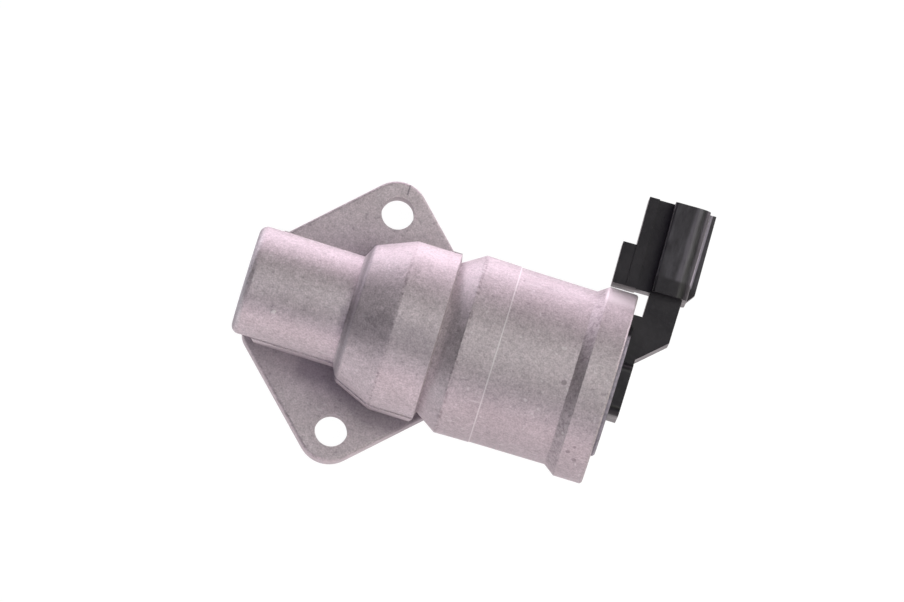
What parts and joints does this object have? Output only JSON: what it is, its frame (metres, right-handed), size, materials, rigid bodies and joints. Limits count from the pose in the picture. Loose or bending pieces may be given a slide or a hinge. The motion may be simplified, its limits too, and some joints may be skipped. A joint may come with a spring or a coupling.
{
  "type": "idle air control valve",
  "caption": "Solenoid idle air control valve: die-cast stepped body on a two-bolt flange with two air ports, and a plastic end cap with a side plug socket.",
  "frame": {"origin": "midpoint between the two bolt holes on the flange's mounting face", "axes": "+X along the valve's axis from the bolt-hole line towards the solenoid and end cap, +Y along the bolt-hole line the way the plug socket opens, +Z out of the mounting face towards the valve"},
  "size_m": [0.0877, 0.0694, 0.0405],
  "materials": {
    "cast_aluminium": "fine-blasted die casting",
    "black_moulding": "satin glass-filled nylon",
    "bobbin_nylon": "natural nylon moulding",
    "copper_winding": "enamelled copper wire",
    "magnet_iron": "zinc-plated soft iron",
    "stainless": "ground stainless steel",
    "spring_steel": "drawn spring wire",
    "bronze_bush": "sintered bronze",
    "brass_seat": "turned brass",
    "tinned_blade": "tin-plated brass",
    "seal_rubber": "nitrile rubber",
    "facing_rubber": "bonded rubber"
  },
  "bodies": {
    "valve_body": {"valve_housing": "cast_aluminium", "end_cap": "black_moulding", "nose_plug": "cast_aluminium", "valve_seat": "brass_seat", "balance_spring": "spring_steel", "return_spring": "spring_steel", "front_flux_plate": "magnet_iron", "shaft_bush": "bronze_bush", "armature_guide_tube": "brass_seat", "fixed_core": "magnet_iron", "coil_bobbin": "bobbin_nylon", "coil_winding": "copper_winding", "yoke_sleeve": "magnet_iron", "rear_flux_plate": "magnet_iron", "wave_washer": "spring_steel", "terminal_lower": "tinned_blade", "terminal_upper": "tinned_blade", "cap_seal": "seal_rubber"},
    "moving_valve": {"valve_shaft": "stainless", "poppet_plate": "stainless", "poppet_facing": "facing_rubber", "front_clip": "spring_steel", "poppet_clip": "spring_steel", "balance_spring_seat": "stainless", "armature": "magnet_iron", "stop_shim": "brass_seat"}
  },
  "joints": [
    {"name": "valve_slide", "type": "slide", "parent": "valve_body", "child": "moving_valve", "axis": [1, 0, 0], "range_m": [0, 0.003], "stiffness_N_per_m": 500, "springref_m": -0.003, "deforming": ["return_spring", "balance_spring"]}
  ]
}
